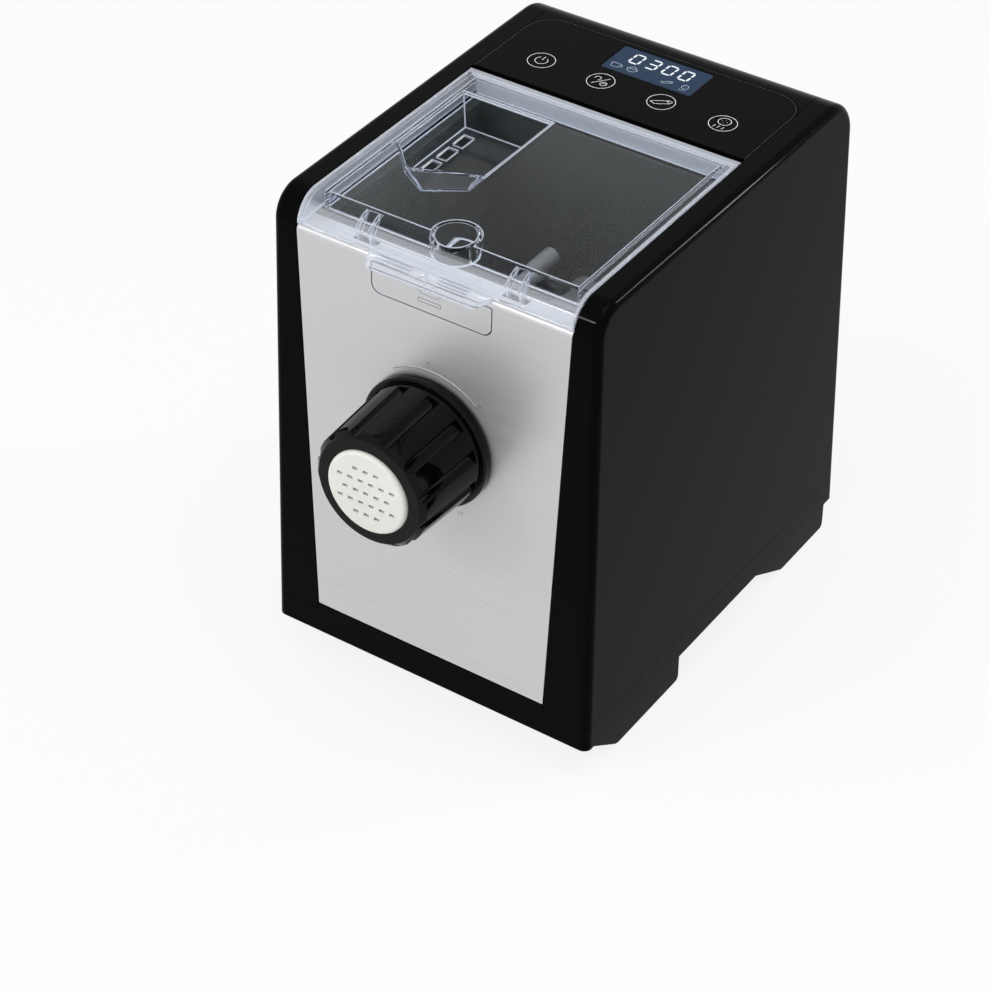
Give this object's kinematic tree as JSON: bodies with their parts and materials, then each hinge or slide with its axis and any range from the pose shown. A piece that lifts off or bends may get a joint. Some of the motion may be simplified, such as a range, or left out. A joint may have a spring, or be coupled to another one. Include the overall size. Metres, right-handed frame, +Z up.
{
  "type": "electric pasta maker",
  "caption": "Countertop machine that mixes dough under a clear lid and presses it out through a round nozzle, with a touch panel on top.",
  "frame": {"origin": "middle of the footprint box, on the table", "axes": "+Z up, -Y the steel front with the nozzle, +X the viewer's right when facing the front"},
  "size_m": [0.212, 0.3314, 0.311],
  "materials": {
    "gloss_black": "high-gloss moulded black",
    "steel_front": "horizontally brushed, light silver",
    "inner_black": "plain moulded black",
    "chamber_grey": "satin dark grey",
    "clear_plastic": "clear, polished",
    "ring_black": "gloss black, softly rubbed edges",
    "die_white": "satin white",
    "tool_grey": "satin mid grey",
    "rubber_dark": "matt soft rubber",
    "display_dark": "smoked window",
    "circuit_green": "solder-masked board",
    "bright_steel": "turned steel",
    "gear_white": "natural acetal",
    "gearbox_grey": "glass-filled plastic",
    "zinc_steel": "zinc-plated sheet",
    "motor_metal": "plated can",
    "bearing_bronze": "sintered bronze"
  },
  "bodies": {
    "housing": {"right_side_shell": "gloss_black", "left_side_shell": "gloss_black", "base_tray": "gloss_black", "rubber_feet": "rubber_dark", "front_panel": "steel_front", "front_bulkhead": "inner_black", "rear_cover": "gloss_black", "cord_gland": "rubber_dark", "control_panel": "gloss_black", "display_window": "display_dark", "display_board": "circuit_green", "touch_springs": "bright_steel", "mixing_chamber": "chamber_grey", "shaft_seal": "rubber_dark", "extrusion_tube": "chamber_grey", "intermediate_axle": "bright_steel", "gearbox_housing": "gearbox_grey", "gearbox_cover": "gearbox_grey", "shaft_bushes": "bearing_bronze", "gearbox_bracket": "zinc_steel", "motor": "motor_metal", "power_board": "circuit_green", "lid_switch": "inner_black", "gearbox_screws": "bright_steel", "rear_cover_screws": "bright_steel"},
    "lid": {"lid": "clear_plastic"},
    "release_button": {"release_button": "steel_front"},
    "lid_switch_plunger": {"lid_switch_plunger": "die_white"},
    "locking_ring": {"locking_ring": "ring_black", "shaping_disc": "die_white"},
    "drive": {"drive_shaft": "bright_steel", "output_gear": "gear_white", "mixing_paddle": "tool_grey", "extrusion_screw": "tool_grey"},
    "intermediate": {"intermediate_gear": "gear_white"},
    "motor_rotor": {"motor_shaft": "bright_steel", "motor_pinion": "bright_steel", "cooling_fan": "inner_black"}
  },
  "joints": [
    {"name": "lid_hinge", "type": "hinge", "parent": "housing", "child": "lid", "pos_m": [0, 0.05475, 0.306], "axis": [-1, 0, 0], "range_deg": [0, 88]},
    {"name": "lid_switch_travel", "type": "slide", "parent": "housing", "child": "lid_switch_plunger", "axis": [0, 0, 1], "range_m": [0, 0.003]},
    {"name": "release_button_press", "type": "slide", "parent": "housing", "child": "release_button", "axis": [0, 1, 0], "range_m": [0, 0.0025], "stiffness_N_per_m": 400},
    {"name": "locking_ring_turn", "type": "hinge", "parent": "housing", "child": "locking_ring", "pos_m": [0, -0.13, 0.194], "axis": [0, 1, 0], "range_deg": [-60, 0]},
    {"name": "drive_turn", "type": "hinge", "parent": "housing", "child": "drive", "pos_m": [0, 0, 0.194], "axis": [0, 1, 0], "continuous": true},
    {"name": "intermediate_turn", "type": "hinge", "parent": "housing", "child": "intermediate", "pos_m": [0, 0.08, 0.15025], "axis": [0, 1, 0], "continuous": true},
    {"name": "motor_turn", "type": "hinge", "parent": "housing", "child": "motor_rotor", "pos_m": [0, 0.12, 0.12025], "axis": [0, 1, 0], "continuous": true}
  ],
  "couplings": [
    {"joint": "lid_switch_travel", "follows": "lid_hinge", "m_per_rad": 0.00195},
    {"joint": "intermediate_turn", "follows": "drive_turn", "ratio": -4},
    {"joint": "motor_turn", "follows": "drive_turn", "ratio": 20}
  ]
}
